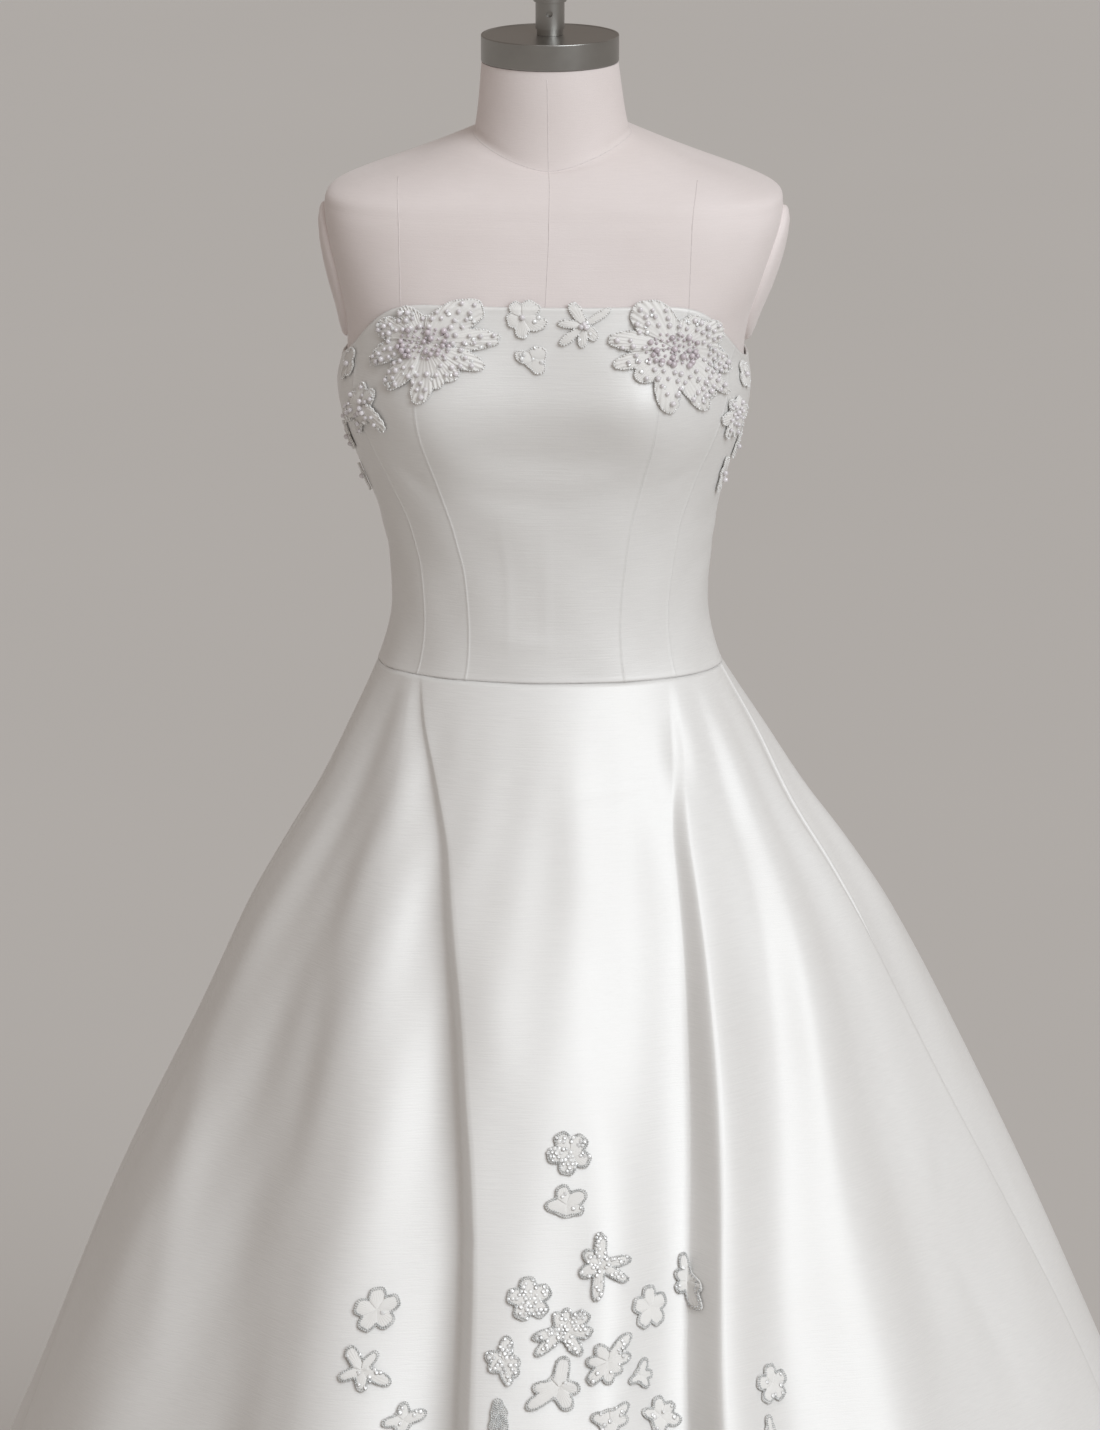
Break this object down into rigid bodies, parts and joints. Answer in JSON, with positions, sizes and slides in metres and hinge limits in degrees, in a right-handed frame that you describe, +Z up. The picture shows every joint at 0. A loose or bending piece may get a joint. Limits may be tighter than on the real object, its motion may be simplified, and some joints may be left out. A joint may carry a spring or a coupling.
{
  "type": "wedding dress on a dress form",
  "caption": "Strapless ball gown with a panelled bodice, full folded skirt and flower applique, on a limbless dress form with a round-footed stand.",
  "frame": {"origin": "middle of the underside of the stand's round foot, on the floor", "axes": "+Z up along the stand, -Y the gown's front, +X the viewer's right when looking at the front"},
  "size_m": [1.2167, 1.3739, 1.581],
  "materials": {
    "satin": "heavy ivory satin with a soft sheen and a fine cross weave",
    "lace": "embroidered applique with beaded edges, pearls and sequins",
    "form_linen": "pale pink-white cotton over a padded form, matt",
    "steel": "brushed stainless steel",
    "zip_metal": "ivory enamelled zip slider and pull"
  },
  "bodies": {
    "gown_and_form": {"bodice_back_left": "satin", "bodice_back_right": "satin", "bodice_back_side_left": "satin", "bodice_back_side_right": "satin", "bodice_front": "satin", "bodice_front_side_left": "satin", "bodice_front_side_right": "satin", "bodice_side_left": "satin", "bodice_side_right": "satin", "skirt_front": "satin", "skirt_back_left": "satin", "skirt_back_right": "satin", "bloom_left": "lace", "bloom_right": "lace", "flower_centre": "lace", "flower_star": "lace", "leaf_centre": "lace", "flower_side_left": "lace", "bud_side_left": "lace", "leaf_side_left": "lace", "leaf_low_left": "lace", "flower_side_right": "lace", "bud_side_right": "lace", "leaf_side_right": "lace", "leaf_low_right": "lace", "skirt_flower_top": "lace", "skirt_half_flower": "lace", "skirt_butterfly_leaf": "lace", "skirt_flower_right": "lace", "skirt_leaf_fold": "lace", "skirt_flower_left": "lace", "skirt_rose": "lace", "skirt_petal_left": "lace", "skirt_petal_middle": "lace", "skirt_leaf_middle": "lace", "skirt_petal_right": "lace", "skirt_leaf_low_left": "lace", "skirt_leaf_low_right": "lace", "skirt_leaf_corner": "lace", "skirt_spray_flower": "lace", "skirt_spray_leaf": "lace", "skirt_spray_low": "lace", "skirt_bud_right": "lace", "skirt_leaf_right": "lace", "form_torso": "form_linen", "arm_plate_left": "form_linen", "arm_plate_right": "form_linen", "neck_cap": "steel", "neck_post": "steel", "stand_pole": "steel", "stand_foot": "steel", "zip_slider": "zip_metal"},
    "zip_tab": {"zip_pull": "zip_metal"}
  },
  "joints": [
    {"name": "zip_pull_swing", "type": "hinge", "parent": "gown_and_form", "child": "zip_tab", "pos_m": [-0.00343, 0.12169, 1.2845], "axis": [1, 0, 0], "range_deg": [-3, 160]}
  ]
}
